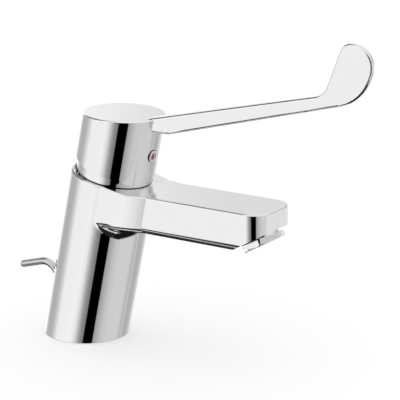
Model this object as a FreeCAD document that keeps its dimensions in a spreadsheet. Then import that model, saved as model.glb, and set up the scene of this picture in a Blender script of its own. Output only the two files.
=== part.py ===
import FreeCAD, Part
import math
import os
import re

import Sketcher

Vector = FreeCAD.Vector
Rotation = FreeCAD.Rotation
Placement = FreeCAD.Placement

# Basin mixer tap with a side-blade lever.
# World frame: +Z up, the spout points to -Y, X = 0 is the plane of symmetry, and the
# origin is the centre of the base on the deck.  The body leans forward, so the pieces on
# its axis are drawn in a leaning frame whose Z runs up that axis.

SIZES = [
    # Body casting
    ("lean", 12.0), ("body_radius", 23.0), ("rim_height", 94.0),
    ("spout_width", 35.0), ("spout_top", 87.3), ("spout_bottom", 66.6), ("spout_reach", 122.0),
    ("spout_corner", 10.5), ("spout_nose_radius", 150.0),
    ("spout_root_y", 18.0), ("spout_root", 7.0), ("spout_flare", 85.0),
    ("spout_flare_start", 33.5), ("spout_top_round", 1.1),
    ("spout_belly_round", 4.0), ("spout_blend", 8.0),
    ("wall_gap", 0.2), ("rim_wall", 1.8), ("foot_margin", 8.0),
    ("blend_margin", 21.0),
    # Cartridge and its chamber
    ("seat_height", 56.0), ("cartridge_radius", 17.5), ("base_height", 6.0),
    ("disc_height", 4.0), ("disc_clearance", 0.3), ("carrier_height", 7.0),
    ("shoulder_height", 25.0), ("housing_wall", 2.0), ("neck_radius", 14.6), ("neck_rise", 46.0),
    ("spindle_carrier_radius", 11.5), ("turn_clearance", 0.06), ("port_radius", 3.2),
    ("port_spacing", 13.0), ("moving_disc_radius", 10.0), ("disc_offset", 2.5),
    ("disc_carrier_radius", 11.6), ("socket_boss_radius", 5.0),
    ("port_seal_radius", 4.4), ("port_seal_section", 1.6), ("port_y", 2.0), ("disc_key", 4.0),
    ("disc_key_depth", 1.5), ("boss_height", 7.0), ("socket_depth", 5.5),
    ("carrier_rise", 32.0), ("carrier_recess", 0.5),
    # Clamp nut and trim dome
    ("nut_radius", 19.0), ("nut_height", 6.0), ("nut_notch_width", 4.0), ("nut_notch_depth", 1.5),
    ("nut_bore_gap", 0.3),
    ("thread_gap", 0.05), ("dome_radius", 18.3), ("dome_wall", 1.0), ("dome_foot", 1.5),
    ("dome_top", 5.0), ("dome_collar_gap", 0.15),
    # Lever hub
    ("hub_radius", 21.9), ("hub_top", 129.1), ("hub_top_tilt", 2.0), ("hub_top_round", 0.8),
    ("hub_foot", 94.4), ("band_radius", 20.6), ("band_shift", 0.5), ("band_height", 4.5),
    ("band_rise", 0.22), ("skirt_radius", 19.1), ("cavity_top", 12.0),
    # Lever arm and blade, seen from the side
    ("arm_root_z", 126.0), ("arm_top_angle", 13.0), ("arm_bottom_angle", 14.7),
    ("arm_root_y", 46.0), ("arm_inside", 14.0), ("arm_depth", 7.3), ("arm_knee_y", 57.0),
    ("arm_knee_round", 10.0),
    ("blade_start_y", 147.5), ("blade_rise", 50.6), ("blade_edge_angle", 69.5),
    ("blade_width", 21.5), ("blade_neck_round", 10.0), ("blade_back_round", 6.0),
    ("blade_front_round", 11.0), ("blade_heel_round", 24.0), ("arm_root_width", 11.0),
    ("blade_thickness", 3.2), ("arm_flank_radius", 2600.0), ("arm_edge_round", 1.2),
    # Spindle
    ("pivot_rise", 41.0), ("pivot_pin_radius", 1.5), ("pivot_pin_length", 20.0),
    ("pin_clearance", 0.05), ("spindle_width", 8.0), ("spindle_arm", 15.0),
    ("spindle_arm_radius", 2.0), ("spindle_ball_radius", 3.0), ("ball_clearance", 0.1),
    ("spindle_block_drop", 5.0), ("spindle_top", 118.0), ("slot_clearance", 0.08),
    ("slot_half_length", 7.5), ("socket_clearance", 0.05),
    # Indicator and grub screw
    ("indicator_rise", 17.5), ("plug_radius", 2.9), ("plug_depth", 1.6), ("plug_crown", 0.6),
    ("plug_clearance", 0.03), ("mark_width", 0.9), ("mark_length", 2.6), ("mark_depth", 0.3),
    ("mark_gap", 1.0), ("grub_radius", 2.5), ("grub_length", 7.0), ("grub_key", 1.25),
    # Aerator
    ("aerator_tilt", 30.0), ("aerator_y", 112.3), ("aerator_z", 71.6), ("aerator_show", 4.0),
    ("aerator_flats", 21.2), ("aerator_seat_radius", 9.4), ("aerator_seat_depth", 9.0),
    ("aerator_bore_radius", 7.6), ("aerator_edge_round", 0.5), ("aerator_washer", 1.5),
    ("aerator_corner", 12.0), ("insert_wall", 1.0), ("insert_face", 1.5),
    ("insert_hole_radius", 0.8), ("insert_pitch", 2.5),
    ("insert_setback", 0.8), ("channel_radius", 4.0), ("channel_back_y", 27.0),
    ("channel_back_z", 71.0), ("channel_front_y", 104.5), ("channel_front_z", 76.6),
    # Underside
    ("seal_inset", 3.6), ("seal_width", 2.6), ("seal_depth", 1.6), ("hose_port_radius", 4.5),
    ("hose_port_depth", 12.0), ("hose_port_y", 0.7), ("stud_radius", 3.4), ("stud_depth", 14.0),
    ("stud_y", 9.4),
    # Pull rod
    ("rod_radius", 2.0), ("rod_clearance", 0.08), ("rod_lean", 20.0), ("rod_base_y", 9.6),
    ("rod_bend_radius", 9.0), ("rod_droop", 16.0), ("rod_run", 29.9), ("rod_handle", 13.0),
    ("rod_cut", 0.8),
]

os.makedirs("parts", exist_ok=True)
doc = FreeCAD.newDocument("basin_mixer")
sheet = doc.addObject("Spreadsheet::Sheet", "sizes")
for row, (alias, value) in enumerate(SIZES, start=1):
    sheet.set("A%d" % row, alias)
    sheet.set("B%d" % row, repr(value))
    sheet.setAlias("B%d" % row, alias)
doc.recompute()

WORD = re.compile(r"\b(?!deg\b)[a-z_]+(?![a-z_(])")


def ref(text):
    """Expression text in which every bare word is a size from the sheet."""
    return WORD.sub(lambda match: "sizes." + match.group(0), str(text))


def size(text):
    """Value of an expression of sheet sizes."""
    value = sheet.evalExpression(ref(text))
    return float(getattr(value, "Value", value))


def leaning():
    """Placement of the leaning frame, turned about X at the origin."""
    return Placement(Vector(0, 0, 0), Rotation(Vector(1, 0, 0), size("lean")))


def bind(item, **expressions):
    """Bind properties of a document object to expressions of sheet sizes."""
    for name, text in expressions.items():
        item.setExpression(name, ref(text))


def plane_of(body, role):
    """One of a body's own origin planes."""
    return [item for item in body.Origin.OriginFeatures if item.Role == role][0]


def new_sketch(body, name, role):
    """Sketch on an origin plane of a body."""
    sketch = body.newObject("Sketcher::SketchObject", name)
    sketch.AttachmentSupport = [(plane_of(body, role), "")]
    sketch.MapMode = "FlatFace"
    return sketch


def pin_point(sketch, edge, point, x, y):
    """Place a sketch point at coordinates given as expressions."""
    for kind, axis, text in (("DistanceX", -2, x), ("DistanceY", -1, y)):
        value = size(text)
        if abs(value) < 1e-9:
            sketch.addConstraint(Sketcher.Constraint("PointOnObject", edge, point, axis))
        else:
            index = sketch.addConstraint(Sketcher.Constraint(kind, edge, point, value))
            sketch.setExpression("Constraints[%d]" % index, ref(text))


def outline(sketch, corners):
    """Closed outline through corners given as expressions.

    A corner is (x, y), or (x, y, radius, side) where the edge that leaves it is an arc
    whose centre lies to the left (+1) or the right (-1) of the way to the next corner.
    """
    points = [Vector(size(corner[0]), size(corner[1]), 0) for corner in corners]
    count = len(points)
    ends = []
    for index, corner in enumerate(corners):
        first, last = points[index], points[(index + 1) % count]
        if len(corner) == 2:
            edge = sketch.addGeometry(Part.LineSegment(first, last), False)
            ends.append((edge, 1, 2))
            continue
        radius, side = size(corner[2]), corner[3]
        chord = last - first
        across = Vector(-chord.y, chord.x, 0).normalize() * side
        centre = (first + last) / 2 + across * math.sqrt(radius ** 2 - chord.Length ** 2 / 4)
        begin, end = (first, last) if side > 0 else (last, first)
        angles = [math.atan2(point.y - centre.y, point.x - centre.x) for point in (begin, end)]
        round_edge = Part.Circle(centre, Vector(0, 0, 1), radius)
        edge = sketch.addGeometry(Part.ArcOfCircle(round_edge, *angles), False)
        ends.append((edge, 1, 2) if side > 0 else (edge, 2, 1))
        fixed = sketch.addConstraint(Sketcher.Constraint("Radius", edge, radius))
        sketch.setExpression("Constraints[%d]" % fixed, ref(corner[2]))
    for index, corner in enumerate(corners):
        edge, start, finish = ends[index]
        following, entry, leave = ends[(index + 1) % count]
        sketch.addConstraint(Sketcher.Constraint("Coincident", edge, finish, following, entry))
        pin_point(sketch, edge, start, corner[0], corner[1])


def circle(sketch, x, y, radius):
    """Circle with centre and radius given as expressions."""
    shape = Part.Circle(Vector(size(x), size(y), 0), Vector(0, 0, 1), size(radius))
    edge = sketch.addGeometry(shape, False)
    pin_point(sketch, edge, 3, x, y)
    index = sketch.addConstraint(Sketcher.Constraint("Radius", edge, size(radius)))
    sketch.setExpression("Constraints[%d]" % index, ref(radius))


def new_body(label, upright=False):
    """Body of one sub-part, in the leaning frame unless it is upright."""
    body = doc.addObject("PartDesign::Body", label)
    body.Label = label
    if not upright:
        body.Placement = leaning()
        body.setExpression("Placement.Rotation.Angle", ref("lean"))
    return body


def revolve(body, name, corners, kind="PartDesign::Revolution"):
    """Full turn of a profile (radius, height) about the body's Z axis."""
    sketch = new_sketch(body, name + "_profile", "XZ_Plane")
    outline(sketch, corners)
    feature = body.newObject(kind, name)
    feature.Profile = sketch
    feature.ReferenceAxis = (sketch, ["V_Axis"])
    feature.Angle = 360.0
    return feature


def turned(label, corners, upright=False):
    """Body turned from one profile."""
    body = new_body(label, upright)
    revolve(body, label + "_turn", corners)
    return body


def lift_sketch(sketch, offset):
    """Bind how far a sketch stands off its plane."""
    sketch.setExpression("AttachmentOffset.Base.z", ref(offset))


def pad(body, name, role, draw, length, offset="0", midplane=False):
    """Pad of a sketch that stands off an origin plane."""
    sketch = new_sketch(body, name + "_outline", role)
    lift_sketch(sketch, offset)
    draw(sketch)
    feature = body.newObject("PartDesign::Pad", name)
    feature.Profile = sketch
    feature.Midplane = midplane
    bind(feature, Length=length)
    return feature


def pocket(body, name, role, draw, length, offset="0", midplane=False, upward=False):
    """Pocket of a sketch that stands off an origin plane, down or up its normal."""
    sketch = new_sketch(body, name + "_outline", role)
    lift_sketch(sketch, offset)
    draw(sketch)
    feature = body.newObject("PartDesign::Pocket", name)
    feature.Profile = sketch
    feature.Midplane = midplane
    feature.Reversed = upward
    bind(feature, Length=length)
    return feature


def rectangle(sketch, x_low, y_low, x_high, y_high):
    """Upright rectangle between two corners given as expressions."""
    outline(sketch, [(x_low, y_low), (x_high, y_low), (x_high, y_high), (x_low, y_high)])


def place(item, y, z, angle=None, axis=Vector(1, 0, 0), x="0"):
    """Place an object in the world frame, turned about X by an expression."""
    turn = Rotation(axis, size(angle)) if angle else Rotation()
    item.Placement = Placement(Vector(size(x), size(y), size(z)), turn)
    item.setExpression("Placement.Base.x", ref(x))
    item.setExpression("Placement.Base.y", ref(y))
    item.setExpression("Placement.Base.z", ref(z))
    if angle:
        item.setExpression("Placement.Rotation.Angle", ref(angle))


def place_leaning(item, y, z, angle="lean"):
    """Place an object at a point of the leaning frame's middle plane."""
    place(item, "(%s) * cos(lean) - (%s) * sin(lean)" % (y, z),
          "(%s) * sin(lean) + (%s) * cos(lean)" % (y, z), angle)


def primitive(kind, name, **sizes):
    """Part primitive with its sizes bound to the sheet."""
    item = doc.addObject("Part::" + kind, name)
    bind(item, **sizes)
    return item


def join(name, *items):
    """Union of document objects."""
    item = doc.addObject("Part::MultiFuse", name)
    item.Shapes = list(items)
    item.Refine = True
    return item


def cut(name, base, tool):
    """One document object less another."""
    item = doc.addObject("Part::Cut", name)
    item.Base = base
    item.Tool = tool
    item.Refine = True
    return item


def common(name, *items):
    """What document objects share."""
    item = doc.addObject("Part::MultiCommon", name)
    item.Shapes = list(items)
    item.Refine = True
    return item


def extrusion(name, sketch, length, symmetric=False):
    """Extrusion of a sketch along its normal."""
    item = doc.addObject("Part::Extrusion", name)
    item.Base = sketch
    item.DirMode = "Normal"
    item.Solid = True
    item.Symmetric = symmetric
    bind(item, LengthFwd=length)
    return item


def world_sketch(name, corners, turn=None):
    """Outline in the world frame, in the XY plane or turned from it."""
    sketch = doc.addObject("Sketcher::SketchObject", name)
    sketch.Placement = Placement(Vector(0, 0, 0), turn or Rotation())
    outline(sketch, corners)
    return sketch


def fillet(name, base, *groups):
    """Fillet of the base's edges that pass a test: groups of (test, radius)."""
    doc.recompute()
    item = doc.addObject("Part::Fillet", name)
    item.Base = base
    chosen = []
    for test, radius in groups:
        for index, edge in enumerate(base.Shape.Edges, start=1):
            if test(edge):
                chosen.append((index, size(radius), size(radius)))
    item.Edges = chosen
    return item


def middle(edge):
    """Point half way along an edge."""
    first, last = edge.ParameterRange
    return edge.valueAt((first + last) / 2)


def local(point):
    """A world point in the leaning frame."""
    return leaning().inverse().multVec(point)


def off_axis(point):
    """Distance of a world point from the leaning axis."""
    inner = local(point)
    return math.hypot(inner.x, inner.y)


# Heights that follow from the sheet's sizes
PIVOT = "(seat_height + pivot_rise)"
NECK_TOP = "(seat_height + neck_rise)"
CARRIER_LOW = "(seat_height + carrier_rise)"
BLADE_TOP = "(arm_root_z + blade_rise)"
INDICATOR = "(hub_foot + indicator_rise)"

# A sketch plane whose x runs along world Y and whose y runs up
SIDE_VIEW = Rotation(Vector(1, 1, 1), 120)
# A hexagon's turn that puts flats where its corners were
HALF_FLAT = Rotation(Vector(0, 0, 1), 30)
TINY = 0.02


def near(value, target):
    """Whether two lengths agree."""
    return abs(value - target) < TINY


def level_edge(edge, height):
    """Whether an edge lies level at a height given as an expression."""
    spots = [vertex.Point for vertex in edge.Vertexes] + [middle(edge)]
    return all(near(spot.z, size(height)) for spot in spots)


# Body casting: a leaning tube and a level spout
def spout_blank():
    """Flat bar that flares towards the tube, with a slightly convex nose and rounded edges."""
    side = "spout_width / 2"
    flare = "%s + spout_flare - sqrt(spout_flare ^ 2 - (spout_flare_start - spout_root) ^ 2)" % side
    plan = world_sketch("spout_plan", [
        ("-(%s)" % flare, "-spout_root", "spout_flare", 1), ("-%s" % side, "-spout_flare_start"),
        ("-%s" % side, "-2 * spout_reach"), (side, "-2 * spout_reach"),
        (side, "-spout_flare_start", "spout_flare", 1), (flare, "-spout_root")])
    bar = extrusion("spout_bar", plan, "2 * spout_top")
    place_leaning(bar, "0", "0")
    nose = primitive("Cylinder", "spout_nose", Radius="spout_nose_radius",
                     Height="spout_top - spout_bottom + spout_blend")
    place(nose, "spout_nose_radius - spout_reach", "spout_bottom")
    blank = common("spout_blank", bar, nose)

    def nose_corner(edge):
        spot = middle(edge)
        upright = near(edge.tangentAt(edge.FirstParameter).z ** 2, 1)
        return upright and spot.y < -size("spout_reach") / 2

    cornered = fillet("spout_cornered", blank, (nose_corner, "spout_corner"))

    def belly_rim(edge):
        return level_edge(edge, "spout_bottom") and middle(edge).y < -size("spout_root_y") - TINY

    return fillet("spout_rounded", cornered, (belly_rim, "spout_belly_round"))


def casting_outside():
    """Tube and spout, still untrimmed at the top, with a hollow blend under the root."""
    tube = turned("tube", [("0", "-foot_margin"), ("body_radius", "-foot_margin"),
                           ("body_radius", "rim_height + blend_margin"),
                           ("0", "rim_height + blend_margin")])
    joined = join("tube_and_spout", tube, spout_blank())

    def root(edge):
        spots = [edge.valueAt(edge.FirstParameter), middle(edge), edge.valueAt(edge.LastParameter)]
        on_tube = all(near(off_axis(spot), size("body_radius")) for spot in spots)
        height = middle(edge).z - size("spout_bottom")
        in_front = local(middle(edge)).y < -size("spout_root") / 2
        return on_tube and in_front and -TINY < height < size("spout_belly_round")

    return fillet("casting_outside", joined, (root, "spout_blend"))


def aerator_frame(item, depth="0"):
    """Stand an object on the slanted face under the spout's nose, Z into the spout."""
    place(item, "-aerator_y + (%s) * sin(aerator_tilt)" % depth,
          "aerator_z + (%s) * cos(aerator_tilt)" % depth, "aerator_tilt", Vector(-1, 0, 0))


def water_channel(name):
    """Round way from the aerator's seat down to the cartridge's outlet."""
    run = "channel_front_y - channel_back_y"
    rise = "channel_front_z - channel_back_z"
    way = primitive("Cylinder", name, Radius="channel_radius",
                    Height="sqrt((%s) ^ 2 + (%s) ^ 2)" % (run, rise))
    place(way, "-channel_back_y", "channel_back_z", "90 deg - atan((%s) / (%s))" % (rise, run))
    return way


def casting():
    """Body with its rim, chamber, water ways and underside."""
    chamber = turned("chamber_tool", [
        ("0", "seat_height"), ("cartridge_radius + wall_gap", "seat_height"),
        ("cartridge_radius + wall_gap", "seat_height + shoulder_height"),
        ("nut_radius + thread_gap", "seat_height + shoulder_height"),
        ("nut_radius + thread_gap", "seat_height + shoulder_height + nut_height"),
        ("body_radius - rim_wall", "seat_height + shoulder_height + nut_height"),
        ("body_radius - rim_wall", "rim_height + blend_margin"), ("0", "rim_height + blend_margin")])
    over_rim = primitive("Cylinder", "over_rim", Radius="2 * spout_reach",
                         Height="2 * spout_reach")
    place_leaning(over_rim, "0", "rim_height")
    over_spout = primitive("Box", "over_spout", Length="4 * spout_reach",
                           Width="4 * spout_reach", Height="spout_reach")
    place(over_spout, "-2 * spout_reach", "spout_top", x="-2 * spout_reach")
    below = primitive("Box", "below_deck", Length="4 * body_radius", Width="4 * body_radius",
                      Height="2 * foot_margin")
    place(below, "-2 * body_radius", "-2 * foot_margin", x="-2 * body_radius")
    nose_cut = primitive("Box", "nose_cut", Length="2 * spout_width", Width="2 * spout_width",
                         Height="spout_width")
    place(nose_cut, "-aerator_y - spout_width * cos(aerator_tilt) - spout_width * sin(aerator_tilt)",
          "aerator_z + spout_width * sin(aerator_tilt) - spout_width * cos(aerator_tilt)",
          "aerator_tilt", Vector(-1, 0, 0), x="-spout_width")
    seat = primitive("Cylinder", "aerator_seat", Radius="aerator_seat_radius",
                     Height="aerator_seat_depth + 1")
    aerator_frame(seat, "-1")
    tools = [chamber, common("rim_trim", over_rim, over_spout), below, nose_cut, seat,
             water_channel("channel_tool")]
    for side, name in ((-1, "cold"), (1, "hot")):
        port = primitive("Cylinder", name + "_port", Radius="hose_port_radius",
                         Height="hose_port_depth + foot_margin")
        feed = primitive("Cylinder", name + "_feed", Radius="port_radius",
                         Height="seat_height + 1 - hose_port_depth / 2")
        place(port, "hose_port_y", "-foot_margin")
        place_leaning(feed, "port_y", "hose_port_depth / 2")
        for item in (port, feed):
            item.Placement.Base.x = side * size("port_spacing / 2")
            item.setExpression("Placement.Base.x", ref("%d * port_spacing / 2" % side))
            tools.append(item)
    stud = primitive("Cylinder", "stud_hole", Radius="stud_radius", Height="stud_depth + 1")
    place(stud, "-stud_y", "-1")
    groove = turned("seal_groove", [
        ("body_radius - seal_inset - seal_width / 2", "-1"),
        ("body_radius - seal_inset + seal_width / 2", "-1"),
        ("body_radius - seal_inset + seal_width / 2", "seal_depth"),
        ("body_radius - seal_inset - seal_width / 2", "seal_depth")], upright=True)
    rod_bore = primitive("Cylinder", "rod_bore", Radius="rod_radius + rod_clearance",
                         Height="rod_run + 1")
    place(rod_bore, "rod_base_y - sin(rod_lean)", "rod_cut - cos(rod_lean)", "rod_lean",
          Vector(-1, 0, 0))
    tools += [stud, groove, rod_bore]
    machined = cut("casting_machined", casting_outside(), join("casting_tools", *tools))

    def top_rim(edge):
        spot = middle(edge)
        outer = abs(spot.x) > size("spout_width / 4") or spot.y < -size("aerator_y")
        on_rim = all(near(local(point).z, size("rim_height")) for point in
                     (edge.valueAt(edge.FirstParameter), spot, edge.valueAt(edge.LastParameter)))
        beyond_wall = off_axis(spot) > size("body_radius - rim_wall / 2")
        return level_edge(edge, "spout_top") and outer or on_rim and beyond_wall

    return fillet("body", machined, (top_rim, "spout_top_round"))


def base_seal():
    """Rubber ring in the groove under the base."""
    return turned("base_seal", [
        ("body_radius - seal_inset - seal_width / 2 + thread_gap", "0"),
        ("body_radius - seal_inset + seal_width / 2 - thread_gap", "0"),
        ("body_radius - seal_inset + seal_width / 2 - thread_gap", "seal_depth"),
        ("body_radius - seal_inset - seal_width / 2 + thread_gap", "seal_depth")], upright=True)


# Cartridge, from its base to the spindle
def inlets(radius):
    """Sketch drawing of the two inlet holes."""
    def draw(sketch):
        for side in (-1, 1):
            circle(sketch, "%d * port_spacing / 2" % side, "port_y", radius)
    return draw


def cartridge_base():
    """Plastic foot of the cartridge with two inlets and their seal seats."""
    body = turned("cartridge_base", [
        ("0", "seat_height"), ("cartridge_radius", "seat_height"),
        ("cartridge_radius", "seat_height + base_height"), ("0", "seat_height + base_height")])
    pocket(body, "seal_seats", "XY_Plane", inlets("port_seal_radius + port_seal_section / 2 + thread_gap"),
           "port_seal_section", "seat_height", upward=True)
    pocket(body, "base_inlets", "XY_Plane", inlets("port_radius"), "base_height",
           "seat_height + base_height")
    return body


def port_seals():
    """Square-section seals round the two inlets."""
    rings = []
    for side, name in ((-1, "cold"), (1, "hot")):
        walls = []
        for wall, sign in (("outer", "+"), ("inner", "-")):
            item = primitive("Cylinder", "%s_seal_%s" % (name, wall), Height="port_seal_section",
                             Radius="port_seal_radius %s port_seal_section / 2" % sign)
            place_leaning(item, "port_y", "seat_height")
            item.setExpression("Placement.Base.x", ref("%d * port_spacing / 2" % side))
            walls.append(item)
        rings.append(cut(name + "_ring", *walls))
    seals = doc.addObject("Part::Compound", "port_seals")
    seals.Links = rings
    return seals


def fixed_disc():
    """Lower ceramic disc with the two inlets."""
    low = "seat_height + base_height"
    body = turned("fixed_disc", [
        ("0", low), ("cartridge_radius - housing_wall - disc_clearance", low),
        ("cartridge_radius - housing_wall - disc_clearance", low + " + disc_height"),
        ("0", low + " + disc_height")])
    pocket(body, "disc_inlets", "XY_Plane", inlets("port_radius"), "disc_height",
           low + " + disc_height")
    return body


def moving_disc():
    """Upper ceramic disc, set back over the inlets while the tap is shut."""
    body = new_body("moving_disc")
    low = "seat_height + base_height + disc_height"

    def plan(sketch):
        circle(sketch, "0", "disc_offset", "moving_disc_radius")

    pad(body, "moving_plate", "XY_Plane", plan, "disc_height", low)

    def key(sketch):
        rectangle(sketch, "-disc_key / 2", "disc_offset - disc_key / 2", "disc_key / 2",
                  "disc_offset + disc_key / 2")

    pocket(body, "key_slot", "XY_Plane", key, "disc_key_depth", low + " + disc_height")
    return body


def disc_carrier():
    """Plastic slider that takes the spindle's ball and pushes the upper disc."""
    body = new_body("disc_carrier")
    low = "seat_height + base_height + 2 * disc_height"

    def plan(sketch):
        circle(sketch, "0", "disc_offset", "disc_carrier_radius")

    def boss(sketch):
        circle(sketch, "0", "0", "socket_boss_radius")

    def key(sketch):
        rectangle(sketch, "-disc_key / 2 + thread_gap", "disc_offset - disc_key / 2 + thread_gap",
                  "disc_key / 2 - thread_gap", "disc_offset + disc_key / 2 - thread_gap")

    def socket(sketch):
        circle(sketch, "0", "0", "spindle_ball_radius + ball_clearance")

    pad(body, "slider_plate", "XY_Plane", plan, "carrier_height", low)
    pad(body, "slider_boss", "XY_Plane", boss, "carrier_height + boss_height", low)
    pad(body, "slider_key", "XY_Plane", key, "disc_key_depth", low + " - disc_key_depth")
    pocket(body, "ball_socket", "XY_Plane", socket, "socket_depth",
           low + " + carrier_height + boss_height")
    return body


def cartridge_housing():
    """Plastic case: a wide drum, a shoulder that the nut holds down, and a neck."""
    low = "seat_height + base_height"
    shoulder = "seat_height + shoulder_height"
    case = turned("cartridge_case", [
        ("cartridge_radius - housing_wall", low), ("cartridge_radius", low),
        ("cartridge_radius", shoulder), ("neck_radius", shoulder), ("neck_radius", NECK_TOP),
        ("spindle_carrier_radius + turn_clearance", NECK_TOP),
        ("spindle_carrier_radius + turn_clearance", shoulder + " - housing_wall"),
        ("cartridge_radius - housing_wall", shoulder + " - housing_wall")])
    housing = cut("cartridge_housing", case, water_channel("window_tool"))
    return housing


def spindle_carrier():
    """Turning barrel in the neck, slotted for the spindle."""
    body = turned("spindle_carrier", [
        ("0", CARRIER_LOW), ("spindle_carrier_radius", CARRIER_LOW),
        ("spindle_carrier_radius", NECK_TOP + " - carrier_recess"),
        ("0", NECK_TOP + " - carrier_recess")])

    def slot(sketch):
        rectangle(sketch, "-spindle_width / 2 - slot_clearance", "-slot_half_length",
                  "spindle_width / 2 + slot_clearance", "slot_half_length")

    def pin_hole(sketch):
        circle(sketch, "0", PIVOT, "pivot_pin_radius")

    pocket(body, "swing_slot", "XY_Plane", slot, "neck_rise - carrier_recess - carrier_rise",
           NECK_TOP + " - carrier_recess")
    pocket(body, "carrier_pin_hole", "YZ_Plane", pin_hole, "4 * spindle_carrier_radius",
           midplane=True)
    return body


def spindle():
    """Lever spindle: a square shank above the pivot and a ball-ended arm below."""
    body = new_body("spindle")
    ball_low = PIVOT + " - spindle_arm - spindle_ball_radius"
    block_low = PIVOT + " - spindle_block_drop"
    neck_low = PIVOT + " - spindle_arm + sqrt(spindle_ball_radius ^ 2 - spindle_arm_radius ^ 2)"
    revolve(body, "ball_and_arm", [
        ("0", ball_low, "spindle_ball_radius", 1),
        ("spindle_ball_radius", PIVOT + " - spindle_arm", "spindle_ball_radius", 1),
        ("spindle_arm_radius", neck_low), ("spindle_arm_radius", block_low + " + 1"),
        ("0", block_low + " + 1")])

    def shank(sketch):
        rectangle(sketch, "-spindle_width / 2", "-spindle_width / 2", "spindle_width / 2",
                  "spindle_width / 2")

    def pin_hole(sketch):
        circle(sketch, "0", PIVOT, "pivot_pin_radius + pin_clearance")

    pad(body, "shank", "XY_Plane", shank, "spindle_top - %s + spindle_block_drop" % PIVOT,
        block_low)
    pocket(body, "spindle_pin_hole", "YZ_Plane", pin_hole, "4 * spindle_width", midplane=True)
    return body


def spindle_pin():
    """Cross pin that the spindle swings on."""
    pin = primitive("Cylinder", "spindle_pin", Radius="pivot_pin_radius",
                    Height="pivot_pin_length")
    turn = leaning().Rotation.multiply(Rotation(Vector(0, 1, 0), 90))
    where = leaning().multVec(Vector(-size("pivot_pin_length") / 2, 0, size(PIVOT)))
    pin.Placement = Placement(where, turn)
    pin.setExpression("Placement.Base.x", ref("-pivot_pin_length / 2"))
    pin.setExpression("Placement.Base.y", ref("-%s * sin(lean)" % PIVOT))
    pin.setExpression("Placement.Base.z", ref("%s * cos(lean)" % PIVOT))
    return pin


def clamp_nut():
    """Brass ring nut that holds the cartridge down, with four spanner notches."""
    low = "seat_height + shoulder_height"
    body = turned("clamp_nut", [
        ("neck_radius + nut_bore_gap", low), ("nut_radius", low),
        ("nut_radius", low + " + nut_height"), ("neck_radius + nut_bore_gap", low + " + nut_height")])

    def notch(along_x):
        wide, narrow = "nut_radius + 1", "nut_notch_width / 2"

        def draw(sketch):
            reach = (wide, narrow) if along_x else (narrow, wide)
            rectangle(sketch, "-(%s)" % reach[0], "-(%s)" % reach[1], reach[0], reach[1])
        return draw

    for name, along_x in (("side_notches", True), ("front_notches", False)):
        pocket(body, name, "XY_Plane", notch(along_x), "nut_notch_depth", low + " + nut_height")
    return body


def trim_dome():
    """Polished cover over the nut, round as seen through the gap under a raised lever."""
    foot = "seat_height + shoulder_height + nut_height"
    joint = foot + " + dome_foot"
    outer = "dome_radius"
    inner = "dome_radius - dome_wall"
    drop = "%s - (%s)" % (PIVOT, joint)

    def reach(radius, height):
        return "sqrt((%s) ^ 2 - (%s) ^ 2)" % (radius, height)

    return turned("trim_dome", [
        (reach(inner, drop), foot), (reach(outer, drop), foot),
        (reach(outer, drop), joint, outer, 1),
        (reach(outer, "dome_top"), PIVOT + " + dome_top"),
        ("neck_radius + dome_collar_gap", PIVOT + " + dome_top"),
        ("neck_radius + dome_collar_gap", PIVOT + " + dome_top - dome_wall"),
        (reach(inner, "dome_top - dome_wall"), PIVOT + " + dome_top - dome_wall", inner, -1),
        (reach(inner, drop), joint)])


# Lever: hub, arm and blade in one piece
def hub_block():
    """Leaning cylinder with a near-level top and a reduced band at its foot."""
    block = new_body("hub_block")

    def plan(sketch):
        circle(sketch, "0", "0", "hub_radius")

    def above_top(sketch):
        far = "hub_radius + 4"
        rise = "(%s) * tan(lean - hub_top_tilt)" % far
        outline(sketch, [
            ("-(%s)" % far, "hub_top + " + rise), (far, "hub_top - " + rise),
            (far, "hub_top + 2 * hub_radius"), ("-(%s)" % far, "hub_top + 2 * hub_radius")])

    pad(block, "hub_drum", "XY_Plane", plan, "hub_top + hub_radius - hub_foot", "hub_foot")
    faced = pocket(block, "hub_top_face", "YZ_Plane", above_top, "4 * hub_radius", midplane=True)
    doc.recompute()
    top_edge = [index for index, edge in enumerate(block.Shape.Edges, start=1)
                if local(middle(edge)).z > size("hub_top - hub_radius / 2")
                and not isinstance(edge.Curve, Part.Line)]
    rounded = block.newObject("PartDesign::Fillet", "hub_top_edge")
    rounded.Base = (faced, ["Edge%d" % index for index in top_edge])
    bind(rounded, Radius="hub_top_round")
    return block


def band_tool():
    """What is taken off round the hub's foot: a step that climbs behind."""
    wedge = new_body("band_wedge")

    def side(sketch):
        far = "2 * hub_radius"
        outline(sketch, [
            ("-(%s)" % far, "hub_foot - 1"), (far, "hub_foot - 1"),
            (far, "hub_foot + band_height + band_rise * (%s)" % far),
            ("0", "hub_foot + band_height"), ("-(%s)" % far, "hub_foot + band_height")])

    pad(wedge, "wedge_side", "YZ_Plane", side, "4 * hub_radius", midplane=True)
    core = new_body("band_core")

    def plan(sketch):
        circle(sketch, "0", "-band_shift", "band_radius")

    pad(core, "core_drum", "XY_Plane", plan, "hub_top - hub_foot + 2", "hub_foot - 2")
    return cut("band_tool", wedge, core)


def hub_hollow():
    """Room inside the hub for the dome and the swing, and the square socket."""
    hollow = new_body("hub_hollow")
    revolve(hollow, "dome_room", [
        ("0", "hub_foot - 1"), ("skirt_radius", "hub_foot - 1"), ("skirt_radius", PIVOT,
                                                                 "skirt_radius", 1),
        ("sqrt(skirt_radius ^ 2 - cavity_top ^ 2)", PIVOT + " + cavity_top"),
        ("0", PIVOT + " + cavity_top")])

    def socket(sketch):
        half = "spindle_width / 2 + socket_clearance"
        rectangle(sketch, "-(%s)" % half, "-(%s)" % half, half, half)

    pad(hollow, "square_socket", "XY_Plane", socket,
        "spindle_top - %s - cavity_top + 1.5" % PIVOT, PIVOT + " + cavity_top - 1")
    return hollow


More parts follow.
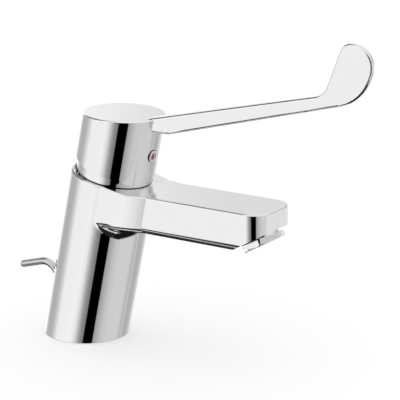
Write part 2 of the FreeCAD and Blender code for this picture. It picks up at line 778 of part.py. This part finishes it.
def aimed(name, label, corners, depth="0"):
    """Body turned about the indicator's axis, Z out of the hub's front."""
    body = turned(label, corners, upright=True)
    place_leaning(body, "-hub_radius + (%s)" % depth, INDICATOR, "lean + 90")
    return body


def indicator_hole():
    """Seat of the indicator plug and the thread of the grub screw behind it."""
    return aimed("hole", "indicator_hole", [
        ("0", "-hub_radius"), ("grub_radius + thread_gap", "-hub_radius"),
        ("grub_radius + thread_gap", "-plug_depth"),
        ("plug_radius + plug_clearance", "-plug_depth"),
        ("plug_radius + plug_clearance", "2"), ("0", "2")])


def arm_and_blade():
    """Slim arm rising forward to an upright blade, thin across and rounded at its edges."""
    knee_z = "arm_root_z - arm_depth"
    start = "arm_root_y - arm_inside"
    neck_z = "arm_root_z + (blade_start_y - arm_root_y) * tan(arm_top_angle)"
    back_y = "blade_start_y + ((arm_root_z + blade_rise) - (%s)) / tan(blade_edge_angle)" % neck_z
    front_y = "(%s) + blade_width" % back_y
    slope = "tan(arm_bottom_angle)"
    steep = "tan(blade_edge_angle)"
    heel_z = ("((%s) + ((%s) - arm_knee_y - (arm_root_z + blade_rise) / %s) * %s) / (1 - %s / %s)"
              % (knee_z, front_y, steep, slope, slope, steep))
    heel_y = "(%s) - ((arm_root_z + blade_rise) - (%s)) / %s" % (front_y, heel_z, steep)
    side = world_sketch("arm_side", [
        ("-(%s)" % start, "arm_root_z - arm_inside * tan(arm_top_angle)"),
        ("-blade_start_y", neck_z), ("-(%s)" % back_y, BLADE_TOP),
        ("-(%s)" % front_y, BLADE_TOP), ("-(%s)" % heel_y, heel_z),
        ("-arm_knee_y", knee_z), ("-(%s)" % start, knee_z)], SIDE_VIEW)
    slab = extrusion("arm_slab", side, "2 * arm_root_width", symmetric=True)

    def corner(y, z):
        def test(edge):
            spot = middle(edge)
            across = near(abs(edge.tangentAt(edge.FirstParameter).x), 1)
            return across and near(spot.y, -size(y)) and near(spot.z, size(z))
        return test

    rounded = fillet("arm_cornered", slab, (corner("blade_start_y", neck_z), "blade_neck_round"),
                     (corner(back_y, BLADE_TOP), "blade_back_round"),
                     (corner(front_y, BLADE_TOP), "blade_front_round"),
                     (corner(heel_y, heel_z), "blade_heel_round"),
                     (corner("arm_knee_y", knee_z), "arm_knee_round"))
    nose = "-(%s) - blade_thickness" % front_y
    wide, thin = "arm_root_width / 2", "blade_thickness / 2"
    plan = world_sketch("arm_plan", [
        ("-" + wide, "-(%s)" % start, "arm_flank_radius", -1), ("-" + thin, nose),
        (thin, nose, "arm_flank_radius", -1), (wide, "-(%s)" % start)])
    taper = extrusion("arm_taper", plan, BLADE_TOP)
    place(taper, "0", "arm_root_z / 2")
    arm = common("arm_sharp", rounded, taper)

    def long_edge(edge):
        spot = middle(edge)
        across = near(abs(edge.tangentAt(edge.FirstParameter).x), 1)
        upright = near(abs(edge.tangentAt(edge.FirstParameter).z), 1)
        behind = near(spot.y, -size(start))
        return not across and not upright and not behind

    return fillet("arm", arm, (long_edge, "arm_edge_round"))


def lever():
    """Whole lever casting."""
    outside = cut("hub_outside", hub_block(), band_tool())
    joined = join("hub_and_arm", outside, arm_and_blade())

    return cut("lever", joined, join("lever_tools", hub_hollow(), indicator_hole()))


def indicator():
    """White domed plug with a red and a blue stroke let into its face."""
    crown = "(plug_radius ^ 2 + plug_crown ^ 2) / (2 * plug_crown)"
    blank = aimed("plug", "plug_blank", [
        ("0", "-plug_depth"), ("plug_radius", "-plug_depth"), ("plug_radius", "0", crown, 1),
        ("0", "plug_crown")])
    strokes = []
    for label, side in (("hot_mark", -1), ("cold_mark", 1)):
        bar = new_body(label + "_bar", upright=True)

        def plan(sketch):
            rectangle(sketch, "%d * mark_gap - mark_width / 2" % side, "-mark_length / 2",
                      "%d * mark_gap + mark_width / 2" % side, "mark_length / 2")

        pad(bar, label + "_stroke", "XY_Plane", plan, "plug_crown + 1", "plug_crown - mark_depth")
        place_leaning(bar, "-hub_radius", INDICATOR, "lean + 90")
        strokes.append((label, bar))
    plug = cut("indicator_plug", blank, join("both_bars", *[bar for label, bar in strokes]))
    marks = [common(label, blank, bar) for label, bar in strokes]
    return [plug] + marks


def grub_screw():
    """Socket screw that grips the spindle."""
    tip = "-hub_radius + spindle_width / 2"
    body = aimed("grub", "grub_screw", [
        ("0", tip), ("grub_radius", tip), ("grub_radius", tip + " + grub_length"),
        ("grub_key", tip + " + grub_length"), ("grub_key", tip + " + grub_length / 2"),
        ("0", tip + " + grub_length / 2")])
    return body


# Aerator under the spout's nose
def aerator_housing():
    """Hexagonal collar with a threaded neck."""
    hexagon = primitive("Prism", "aerator_hexagon", Circumradius="aerator_flats / 2 / cos(30)",
                        Height="aerator_show")
    hexagon.Polygon = 6
    aerator_frame(hexagon, "-aerator_show")
    hexagon.Placement = hexagon.Placement.multiply(Placement(Vector(0, 0, 0), HALF_FLAT))
    rounding = turned("aerator_rounding", [
        ("0", "-aerator_show"), ("aerator_corner - aerator_edge_round", "-aerator_show"),
        ("aerator_corner", "-aerator_show + aerator_edge_round"), ("aerator_corner", "0"),
        ("0", "0")], upright=True)
    aerator_frame(rounding)
    collar = common("aerator_collar", hexagon, rounding)
    neck = primitive("Cylinder", "aerator_neck", Radius="aerator_seat_radius - thread_gap",
                     Height="aerator_seat_depth - aerator_washer + aerator_show")
    aerator_frame(neck, "-aerator_show")
    solid = join("aerator_solid", collar, neck)
    bore = primitive("Cylinder", "aerator_bore", Radius="aerator_bore_radius",
                     Height="aerator_seat_depth + 2 * aerator_show")
    aerator_frame(bore, "-2 * aerator_show")
    return cut("aerator_housing", solid, bore)


def aerator_insert():
    """Plastic jet former: a cup whose face is a honeycomb of holes."""
    low = "-aerator_show + insert_setback"
    top = "aerator_seat_depth - aerator_washer"
    outer = "aerator_bore_radius - thread_gap"
    body = turned("aerator_insert", [
        ("0", low), (outer, low), (outer, top), (outer + " - insert_wall", top),
        (outer + " - insert_wall", low + " + insert_face"), ("0", low + " + insert_face")],
        upright=True)

    def holes(sketch):
        for ring in range(1, 3):
            for index in range(6 * ring):
                angle = 60.0 * index / ring
                circle(sketch, "%d * insert_pitch * cos(%.4f)" % (ring, angle),
                       "%d * insert_pitch * sin(%.4f)" % (ring, angle), "insert_hole_radius")
        circle(sketch, "0", "0", "insert_hole_radius")

    pocket(body, "jets", "XY_Plane", holes, "insert_face", low + " + insert_face")
    aerator_frame(body)
    return body


def aerator_washer():
    """Rubber ring between the aerator's neck and its seat."""
    low = "aerator_seat_depth - aerator_washer"
    body = turned("aerator_washer", [
        ("aerator_bore_radius", low), ("aerator_seat_radius - thread_gap", low),
        ("aerator_seat_radius - thread_gap", "aerator_seat_depth"),
        ("aerator_bore_radius", "aerator_seat_depth")], upright=True)
    aerator_frame(body)
    return body


def pull_rod():
    """Bent round rod with a round-ended handle, cut off at the deck."""
    radius, bend = size("rod_radius"), size("rod_bend_radius")
    rising = Vector(0, size("sin(rod_lean)"), size("cos(rod_lean)"))
    falling = Vector(0, size("cos(rod_droop)"), -size("sin(rod_droop)"))
    foot = Vector(0, size("rod_base_y"), size("rod_cut"))
    knee = foot + rising * size("rod_run")
    centre = knee + Vector(0, rising.z, -rising.y) * bend
    after = centre + Vector(0, -falling.z, falling.y) * bend
    halfway = (rising - falling).normalize()
    crest = centre + (knee + after - centre * 2).normalize() * bend
    end = after + falling * size("rod_handle")
    path = Part.Wire([Part.LineSegment(foot, knee).toShape(), Part.Arc(knee, crest, after).toShape(),
                      Part.LineSegment(after, end).toShape()])
    ring = Part.Wire([Part.Circle(foot, rising, radius).toShape()])
    rod = path.makePipeShell([ring], True, True)
    tip = Part.makeSphere(radius, end)
    item = doc.addObject("Part::Feature", "pull_rod")
    item.Shape = rod.fuse(tip).removeSplitter()
    return item


NODES = [casting(), base_seal(), cartridge_base(), port_seals(), fixed_disc(), moving_disc(),
         disc_carrier(), cartridge_housing(), spindle_carrier(), spindle(), spindle_pin(),
         clamp_nut(), trim_dome(), lever()]
NODES += indicator()
NODES += [grub_screw(), aerator_housing(), aerator_insert(), aerator_washer(), pull_rod()]

doc.recompute()
for item in doc.Objects:
    if "Invalid" in item.State or "Error" in item.State:
        raise RuntimeError("%s failed: %s" % (item.Label, item.State))
for item in NODES:
    if item.Shape.isNull() or not item.Shape.isValid() or not item.Shape.Solids:
        raise RuntimeError("%s has no valid solid" % item.Label)
for item in NODES:
    item.Shape.exportStep("parts/%s.step" % item.Label)
    box = item.Shape.BoundBox
    print("%-18s %9.1f mm3  z %.1f to %.1f" % (item.Label, item.Shape.Volume, box.ZMin, box.ZMax))
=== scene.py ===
import math
from collections import namedtuple

import bmesh
import bpy
from mathutils import Matrix, Vector


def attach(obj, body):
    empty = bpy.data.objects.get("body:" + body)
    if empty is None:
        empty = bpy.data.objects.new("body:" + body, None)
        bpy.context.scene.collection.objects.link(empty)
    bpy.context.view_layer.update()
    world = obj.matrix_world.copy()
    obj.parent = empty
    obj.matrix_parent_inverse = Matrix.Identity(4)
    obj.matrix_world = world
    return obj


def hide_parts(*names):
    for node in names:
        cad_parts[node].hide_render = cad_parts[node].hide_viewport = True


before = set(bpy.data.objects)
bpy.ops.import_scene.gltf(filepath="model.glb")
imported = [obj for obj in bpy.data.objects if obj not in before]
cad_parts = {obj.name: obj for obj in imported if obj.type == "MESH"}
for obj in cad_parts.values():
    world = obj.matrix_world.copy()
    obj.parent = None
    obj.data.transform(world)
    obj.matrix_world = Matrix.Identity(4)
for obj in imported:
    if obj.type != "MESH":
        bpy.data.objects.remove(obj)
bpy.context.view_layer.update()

# Camera: where the photograph was taken from, in the object's frame
CAMERA_AZIMUTH = -57.0
CAMERA_ELEVATION = 15.15
CAMERA_DISTANCE = 1.0
CAMERA_TARGET = Vector((0.0338, -0.0534, 0.0773))
CAMERA_LENS = 165.9
CAMERA_SHIFT_X = -0.003
CAMERA_SHIFT_Y = -0.0128

# Frame of the leaning body: across it, up its axis and out at the front
MM = 0.001
LEAN = math.radians(12)
ACROSS = Vector((1, 0, 0))
UPWARD = Vector((0, -math.sin(LEAN), math.cos(LEAN)))
FACING = Vector((0, -math.cos(LEAN), -math.sin(LEAN)))

# Indicator, in millimetres, from the top of its lens
LENS_FORWARD, LENS_HEIGHT = 23.2, 111.9
LENS_RADIUS, LENS_CROWN, LENS_WALL = 2.6, 0.9, 0.4
LENS_BALL = (LENS_RADIUS ** 2 + LENS_CROWN ** 2) / (2 * LENS_CROWN)
CHROME_RIM, CHROME_WIRE, CHROME_DEPTH = 2.8, 0.34, 0.95
# Black ring outside the chrome rim: painted shadow of the gap between the indicator's plug and the hub
SHADOW_GAP_RIM, SHADOW_GAP_WIRE, SHADOW_GAP_DEPTH = 3.15, 0.34, 1.3
STROKE_RADIUS, STROKE_GAP, STROKE_HALF_HEIGHT = 2.05, 0.3, 1.9
STROKE_LIFT, STROKE_WALL = 0.05, 0.2

# Rolled lower edge of the aerator's collar, in millimetres
LIP_PLACE = Vector((0, -114.3, 68.14))
LIP_TILT = math.radians(30)
LIP_FLAT, LIP_WIRE, LIP_RISE = 10.5, 0.38, 0.1
LIP_CORNER_CUT, LIP_ROUND = 0.48, 0.37
HEXAGON_SIDES = 6

# Fineness of the round pieces, and the angle in radians past which an edge counts as sharp
RIM_STEPS, WIRE_SIDES = 64, 12
BALL_SEGMENTS, BALL_ROWS = 48, 40
LIP_ROUNDING = 4
SHARP_EDGE = 1.0

# Walls of the studio tent all round, with azimuths in degrees; a later wall covers an earlier one
Wall = namedtuple("Wall", "start end start_soft end_soft brightness")
TENT_BRIGHTNESS = 0.53
WALLS = {
    "left_wall": Wall(start=-155, end=-93, start_soft=22, end_soft=20, brightness=1.15),
    "front_wall": Wall(start=-26, end=44, start_soft=30, end_soft=12, brightness=0.76),
    "dark_corner": Wall(start=-84, end=-42, start_soft=13, end_soft=25, brightness=0.25),
    "window_line": Wall(start=53, end=60, start_soft=4, end_soft=3, brightness=0.68),
    "right_wall": Wall(start=95, end=155, start_soft=18, end_soft=15, brightness=0.84),
    "right_lamp": Wall(start=126, end=153, start_soft=4, end_soft=16, brightness=1.25),
}
ROOF_BRIGHTNESS = 1.0
ROOF_EDGE, ROOF_SOFTNESS = 28.5, 16.5

# Panels hung in the tent, black or pale, with spans and softness in degrees
Panel = namedtuple("Panel", "azimuths elevations softness brightness")
PANELS = {
    "nose_light": Panel((20, 100), (-20, 2), 3, 0.9),
    "side_tone": Panel((-150, -106), (-23, -2), 8, 1.06),
    "tall": Panel((-71, -43), (-60, 30), 0.8, 0.0),
    "under": Panel((-136, -44), (-89, -40), 4, 0.02),
    "corner_line": Panel((-82, -60), (4, 24), 2, 0.0),
    "low_front": Panel((-44, 105), (-89, -44), 4, 0.01),
    "side_line": Panel((-175, -117), (-38, -24), 2, 0.03),
    "low_right_back": Panel((118, 190), (-62, -21), 4, 0.03),
    "low_left_back": Panel((-190, -140), (-62, -30), 4, 0.03),
    "high_right_back": Panel((128, 190), (26, 62), 5, 0.2),
    "high_left_back": Panel((-190, -140), (26, 62), 5, 0.2),
}

# Plain light on everything that isn't a mirror, and the white ground
WHITE_SEEN = 1.0
WORLD_LIGHT = 0.75
FLOOR_SIZE = 6.0
FLOOR_COLOUR = (0.9, 0.9, 0.9, 1)
FLOOR_GLOW = 0.35
FLOOR_DROP = 0.0003

# Most of a noise pattern lies between these two values
PATTERN_LOW, PATTERN_HIGH = 0.3, 0.7

# Relief of moulded pieces: its depth in metres, and how much finer it is than the drift in gloss
FINE_RELIEF = 0.00001
RELIEF_FINENESS = 6


def fresh_nodes(material):
    """An empty node tree and its output."""
    material.use_nodes = True
    tree = material.node_tree
    tree.nodes.clear()
    output = tree.nodes.new("ShaderNodeOutputMaterial")
    return tree, output


def noise(tree, scale, detail):
    """A noise pattern that stays on the piece."""
    place = tree.nodes.new("ShaderNodeTexCoord")
    pattern = tree.nodes.new("ShaderNodeTexNoise")
    pattern.inputs["Scale"].default_value = scale
    pattern.inputs["Detail"].default_value = detail
    tree.links.new(place.outputs["Object"], pattern.inputs["Vector"])
    return pattern.outputs["Fac"]


def spread(tree, value, low, high):
    """Stretches a pattern's middle range onto low to high."""
    span = tree.nodes.new("ShaderNodeMapRange")
    span.inputs["From Min"].default_value = PATTERN_LOW
    span.inputs["From Max"].default_value = PATTERN_HIGH
    span.inputs["To Min"].default_value = low
    span.inputs["To Max"].default_value = high
    tree.links.new(value, span.inputs["Value"])
    return span.outputs["Result"]


def bump(tree, shader, value, height):
    """Presses a pattern into the surface, height metres deep."""
    node = tree.nodes.new("ShaderNodeBump")
    node.inputs["Strength"].default_value = 1.0
    node.inputs["Distance"].default_value = height
    tree.links.new(value, node.inputs["Height"])
    tree.links.new(node.outputs["Normal"], shader.inputs["Normal"])


def surface(material, colour, metallic, roughness, grain, detail=2, relief=0):
    """A plain colour whose roughness drifts between two values, with an optional fine relief."""
    tree, output = fresh_nodes(material)
    shader = tree.nodes.new("ShaderNodeBsdfPrincipled")
    shader.inputs["Base Color"].default_value = (*colour, 1)
    shader.inputs["Metallic"].default_value = metallic
    smooth, rough = roughness
    drift = spread(tree, noise(tree, grain, detail), smooth, rough)
    tree.links.new(drift, shader.inputs["Roughness"])
    if relief:
        bump(tree, shader, noise(tree, grain * RELIEF_FINENESS, detail), relief)
    tree.links.new(shader.outputs["BSDF"], output.inputs["Surface"])


def finish_chrome(material):
    """Polished chrome with the faint haze that handling leaves."""
    surface(material, (0.8, 0.8, 0.805), metallic=1, roughness=(0.03, 0.06), grain=90, detail=3)


def finish_satin_steel(material):
    """Drawn rod: satin, with a grain too fine to see."""
    surface(material, (0.62, 0.62, 0.63), metallic=1, roughness=(0.22, 0.36), grain=900)


def finish_steel(material):
    """Turned steel of the pin and the grub screw."""
    surface(material, (0.56, 0.56, 0.57), metallic=1, roughness=(0.2, 0.35), grain=300)


def finish_brass(material):
    """Machined brass of the nut and the spindle."""
    surface(material, (0.80, 0.62, 0.32), metallic=1, roughness=(0.2, 0.35), grain=300)


def finish_rubber(material):
    """Moulded black rubber."""
    surface(material, (0.02, 0.02, 0.02), metallic=0, roughness=(0.5, 0.7), grain=500, relief=FINE_RELIEF)


def finish_cartridge_plastic(material):
    """Off-white acetal of the cartridge."""
    surface(material, (0.75, 0.75, 0.72), metallic=0, roughness=(0.35, 0.5), grain=200, relief=FINE_RELIEF)


def finish_ceramic(material):
    """Lapped ceramic of the two discs."""
    surface(material, (0.85, 0.84, 0.8), metallic=0, roughness=(0.08, 0.15), grain=200)


def finish_white_plastic(material):
    """Glossy white of the indicator's plug and lens."""
    surface(material, (0.86, 0.86, 0.85), metallic=0, roughness=(0.15, 0.25), grain=200)


def finish_hot_red(material):
    """Red of the hot stroke."""
    surface(material, (0.55, 0.03, 0.03), metallic=0, roughness=(0.2, 0.3), grain=200)


def finish_cold_blue(material):
    """Blue of the cold stroke."""
    surface(material, (0.03, 0.06, 0.45), metallic=0, roughness=(0.2, 0.3), grain=200)


def finish_insert_plastic(material):
    """Grey plastic of the aerator's insert."""
    surface(material, (0.3, 0.31, 0.32), metallic=0, roughness=(0.3, 0.45), grain=200, relief=FINE_RELIEF)


FINISHES = {
    "chrome": finish_chrome,
    "satin_steel": finish_satin_steel,
    "steel": finish_steel,
    "brass": finish_brass,
    "rubber": finish_rubber,
    "cartridge_plastic": finish_cartridge_plastic,
    "ceramic": finish_ceramic,
    "white_plastic": finish_white_plastic,
    "hot_red": finish_hot_red,
    "cold_blue": finish_cold_blue,
    "insert_plastic": finish_insert_plastic,
}


def dress_frame():
    """Gives each slot of the CAD its finish."""
    for name, finish in FINISHES.items():
        finish(bpy.data.materials[name])


def millimetre_frame(origin, across, upward, outward):
    """The matrix from a piece's own millimetres to the object's frame."""
    turn = Matrix((across, upward, outward)).transposed().to_4x4()
    return Matrix.Scale(MM, 4) @ Matrix.Translation(origin) @ turn


def lens_frame():
    """Across, up and out of the hub, from the top of the indicator's lens."""
    top = UPWARD * LENS_HEIGHT + FACING * LENS_FORWARD
    return millimetre_frame(top, ACROSS, UPWARD, FACING)


def collar_frame():
    """The aerator's tilted frame, from the middle of its collar's lower face."""
    side = Vector((0, math.cos(LIP_TILT), -math.sin(LIP_TILT)))
    axis = Vector((0, math.sin(LIP_TILT), math.cos(LIP_TILT)))
    return millimetre_frame(LIP_PLACE, ACROSS, side, axis)


def finished_piece(name, bm, place, material, body):
    """A smooth object with its place in its mesh, which rides with a body of the frame."""
    bmesh.ops.transform(bm, matrix=place, verts=bm.verts)
    bmesh.ops.recalc_face_normals(bm, faces=bm.faces)
    for face in bm.faces:
        face.smooth = True
    mesh = bpy.data.meshes.new(name)
    bm.to_mesh(mesh)
    bm.free()
    mesh.materials.append(bpy.data.materials[material])
    piece = bpy.data.objects.new(name, mesh)
    bpy.context.scene.collection.objects.link(piece)
    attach(piece, body)
    return piece


def trim(bm, point, outward):
    """Cuts away what lies outward of a plane."""
    everything = bm.verts[:] + bm.edges[:] + bm.faces[:]
    bmesh.ops.bisect_plane(bm, geom=everything, plane_co=point, plane_no=outward, clear_outer=True)


def close_openings(bm):
    """Fills every open rim with one face."""
    bmesh.ops.holes_fill(bm, edges=[edge for edge in bm.edges if edge.is_boundary], sides=0)


def domed_disc(radius, wall):
    """A disc cut from the lens's ball, with a straight wall below its rim."""
    bm = bmesh.new()
    bmesh.ops.create_uvsphere(bm, u_segments=BALL_SEGMENTS, v_segments=BALL_ROWS, radius=LENS_BALL,
                              matrix=Matrix.Translation((0, 0, -LENS_BALL)))
    crown = LENS_BALL - math.sqrt(LENS_BALL ** 2 - radius ** 2)
    trim(bm, (0, 0, -crown), (0, 0, -1))
    rim = [edge for edge in bm.edges if edge.is_boundary]
    skirt = bmesh.ops.extrude_edge_only(bm, edges=rim)["geom"]
    foot = [item for item in skirt if isinstance(item, bmesh.types.BMVert)]
    bmesh.ops.translate(bm, vec=(0, 0, -wall), verts=foot)
    close_openings(bm)
    return bm


def make_lens():
    """White dome that stands on the plug and carries the two strokes."""
    bm = domed_disc(LENS_RADIUS, LENS_WALL)
    return finished_piece("indicator_lens", bm, lens_frame(), "white_plastic", "lever_arm")


def make_rim(name, size, wire, depth, material):
    """Round ring about the lens's axis, depth behind the top of the lens."""
    bm = bmesh.new()
    upright = Matrix.Rotation(math.radians(90), 4, "X")
    bmesh.ops.create_circle(bm, segments=WIRE_SIDES, radius=wire,
                            matrix=Matrix.Translation((size, 0, -depth)) @ upright)
    bmesh.ops.spin(bm, geom=bm.verts[:] + bm.edges[:], cent=(0, 0, 0), axis=(0, 0, 1),
                   angle=2 * math.pi, steps=RIM_STEPS, use_merge=True)
    return finished_piece(name, bm, lens_frame(), material, "lever_arm")


def make_stroke(name, side, material, node):
    """Raised half-moon on the lens, in place of the CAD's plain inlay."""
    bm = domed_disc(STROKE_RADIUS, STROKE_WALL)
    bmesh.ops.translate(bm, vec=(0, 0, STROKE_LIFT), verts=bm.verts)
    for point, outward in (((side * STROKE_GAP, 0, 0), (-side, 0, 0)),
                           ((0, STROKE_HALF_HEIGHT, 0), (0, 1, 0)),
                           ((0, -STROKE_HALF_HEIGHT, 0), (0, -1, 0))):
        trim(bm, point, outward)
        close_openings(bm)
    piece = finished_piece(name, bm, lens_frame(), material, "lever_arm")
    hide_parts(node)
    return piece


def make_indicator():
    """The lens with its chrome rim and strokes, and a black ring outside the rim that is painted shadow
    for the gap between the plug and the hub.
    """
    make_rim("button_rim", CHROME_RIM, CHROME_WIRE, CHROME_DEPTH, "chrome")
    # Black ring in the rubber finish, painted shadow of the gap between the plug and the hub
    make_rim("painted_shadow_gap_ring", SHADOW_GAP_RIM, SHADOW_GAP_WIRE, SHADOW_GAP_DEPTH, "rubber")
    make_lens()
    make_stroke("hot_stroke", -1, "hot_red", "hot_mark")
    make_stroke("cold_stroke", 1, "cold_blue", "cold_mark")


def make_aerator_lip():
    """Rolled edge around the bottom of the hexagonal collar."""
    bm = bmesh.new()
    corner = (LIP_FLAT + LIP_WIRE) / math.cos(math.pi / HEXAGON_SIDES)
    bmesh.ops.create_circle(bm, cap_ends=True, segments=HEXAGON_SIDES, radius=corner,
                            matrix=Matrix.Translation((0, 0, LIP_RISE - LIP_WIRE)))
    bmesh.ops.bevel(bm, geom=bm.verts[:], offset=LIP_CORNER_CUT, offset_type="OFFSET", segments=1,
                    profile=0.5, affect="VERTICES", material=-1)
    plate = bm.faces[:]
    bmesh.ops.inset_region(bm, faces=plate, thickness=2 * LIP_WIRE, use_boundary=True,
                             use_even_offset=True)
    bmesh.ops.delete(bm, geom=plate, context="FACES")
    raised = bmesh.ops.extrude_face_region(bm, geom=bm.faces[:])["geom"]
    top = [item for item in raised if isinstance(item, bmesh.types.BMVert)]
    bmesh.ops.translate(bm, vec=(0, 0, 2 * LIP_WIRE), verts=top)
    bmesh.ops.recalc_face_normals(bm, faces=bm.faces)
    long_edges = [edge for edge in bm.edges if edge.calc_face_angle(0) > SHARP_EDGE]
    bmesh.ops.bevel(bm, geom=long_edges, offset=LIP_ROUND, offset_type="OFFSET",
                    segments=LIP_ROUNDING, profile=0.5, affect="EDGES", material=-1)
    return finished_piece("aerator_lip", bm, collar_frame(), "chrome", "casting")


def maths(tree, operation, *values):
    """A maths node on numbers or on other nodes' outputs."""
    node = tree.nodes.new("ShaderNodeMath")
    node.operation = operation
    for socket, value in zip(node.inputs, values):
        if isinstance(value, (int, float)):
            socket.default_value = value
        else:
            tree.links.new(value, socket)
    return node.outputs[0]


def soft_step(tree, value, middle, softness):
    """0 below the middle and 1 above it, smooth over softness on each side."""
    node = tree.nodes.new("ShaderNodeMapRange")
    node.interpolation_type = "SMOOTHSTEP"
    node.inputs["From Min"].default_value = middle - softness
    node.inputs["From Max"].default_value = middle + softness
    tree.links.new(value, node.inputs["Value"])
    return node.outputs["Result"]


def inside(tree, value, span, start_soft, end_soft):
    """1 between the two ends of a span, with soft edges."""
    start, end = span
    rise = soft_step(tree, value, start, start_soft)
    fall = soft_step(tree, value, end, end_soft)
    return maths(tree, "SUBTRACT", rise, fall)


def cover(tree, level, brightness, share):
    """A level with a share of it covered by a wall or panel of some brightness."""
    gap = maths(tree, "SUBTRACT", brightness, level)
    return maths(tree, "ADD", level, maths(tree, "MULTIPLY", gap, share))


def tent_level(tree):
    """How bright the studio tent is in the direction that is looked up."""
    place = tree.nodes.new("ShaderNodeTexCoord")
    axes = tree.nodes.new("ShaderNodeSeparateXYZ")
    tree.links.new(place.outputs["Generated"], axes.inputs[0])
    forward = maths(tree, "MULTIPLY", axes.outputs["Y"], -1.0)
    azimuth = maths(tree, "DEGREES", maths(tree, "ARCTAN2", axes.outputs["X"], forward))
    elevation = maths(tree, "DEGREES", maths(tree, "ARCSINE", axes.outputs["Z"]))

    level = maths(tree, "ADD", TENT_BRIGHTNESS, 0.0)
    for wall in WALLS.values():
        span = (wall.start, wall.end)
        share = inside(tree, azimuth, span, wall.start_soft, wall.end_soft)
        level = cover(tree, level, wall.brightness, share)
    roof = soft_step(tree, elevation, ROOF_EDGE, ROOF_SOFTNESS)
    level = cover(tree, level, ROOF_BRIGHTNESS, roof)
    for panel in PANELS.values():
        wide = inside(tree, azimuth, panel.azimuths, panel.softness, panel.softness)
        high = inside(tree, elevation, panel.elevations, panel.softness, panel.softness)
        level = cover(tree, level, panel.brightness, maths(tree, "MULTIPLY", wide, high))
    return level


def make_world():
    """White behind the object, and the studio tent for the chrome to mirror."""
    world = bpy.data.worlds.new("studio")
    bpy.context.scene.world = world
    world.use_nodes = True
    tree = world.node_tree
    tree.nodes.clear()
    output = tree.nodes.new("ShaderNodeOutputWorld")
    path = tree.nodes.new("ShaderNodeLightPath")
    light = tree.nodes.new("ShaderNodeBackground")
    light.inputs["Color"].default_value = (1, 1, 1, 1)
    seen = maths(tree, "MAXIMUM", path.outputs["Is Camera Ray"], path.outputs["Is Transmission Ray"])
    plain = maths(tree, "MULTIPLY_ADD", seen, WHITE_SEEN - WORLD_LIGHT, WORLD_LIGHT)
    change = maths(tree, "SUBTRACT", tent_level(tree), plain)
    strength = maths(tree, "MULTIPLY_ADD", change, path.outputs["Is Glossy Ray"], plain)
    tree.links.new(strength, light.inputs["Strength"])
    tree.links.new(light.outputs[0], output.inputs["Surface"])


def floor_paper():
    """Pale paper that glows only where it is looked at, so that it keeps the shadow."""
    material = bpy.data.materials.new("floor_paper")
    tree, output = fresh_nodes(material)
    paper = tree.nodes.new("ShaderNodeBsdfDiffuse")
    paper.inputs["Color"].default_value = FLOOR_COLOUR
    path = tree.nodes.new("ShaderNodeLightPath")
    mirrored = maths(tree, "MAXIMUM", path.outputs["Is Glossy Ray"], path.outputs["Is Transmission Ray"])
    seen = maths(tree, "MAXIMUM", path.outputs["Is Camera Ray"], mirrored)
    glow = tree.nodes.new("ShaderNodeEmission")
    tree.links.new(maths(tree, "MULTIPLY", seen, FLOOR_GLOW), glow.inputs["Strength"])
    total = tree.nodes.new("ShaderNodeAddShader")
    tree.links.new(paper.outputs[0], total.inputs[0])
    tree.links.new(glow.outputs[0], total.inputs[1])
    tree.links.new(total.outputs[0], output.inputs["Surface"])
    return material


def make_floor():
    """A pale floor that keeps the shadow."""
    bm = bmesh.new()
    bmesh.ops.create_grid(bm, x_segments=1, y_segments=1, size=FLOOR_SIZE / 2,
                          matrix=Matrix.Translation((0, 0, -FLOOR_DROP)))
    mesh = bpy.data.meshes.new("floor")
    bm.to_mesh(mesh)
    bm.free()
    mesh.materials.append(floor_paper())
    floor = bpy.data.objects.new("floor", mesh)
    bpy.context.scene.collection.objects.link(floor)
    floor.visible_glossy = False


def direction(azimuth, elevation):
    """The unit vector from the object towards a place given by its angles in degrees."""
    turn, rise = math.radians(azimuth), math.radians(elevation)
    level = math.cos(rise)
    return Vector((math.sin(turn) * level, -math.cos(turn) * level, math.sin(rise)))


def make_camera():
    """The photograph's own view."""
    data = bpy.data.cameras.new("photo_view")
    data.lens = CAMERA_LENS
    data.shift_x = CAMERA_SHIFT_X
    data.shift_y = CAMERA_SHIFT_Y
    camera = bpy.data.objects.new("photo_view", data)
    back = direction(CAMERA_AZIMUTH, CAMERA_ELEVATION)
    camera.location = CAMERA_TARGET + back * CAMERA_DISTANCE
    camera.rotation_mode = "QUATERNION"
    camera.rotation_quaternion = (-back).to_track_quat("-Z", "Y")
    bpy.context.scene.collection.objects.link(camera)
    bpy.context.scene.camera = camera


dress_frame()
make_indicator()
make_aerator_lip()
make_world()
make_floor()
make_camera()
bpy.context.scene.view_settings.view_transform = "Standard"
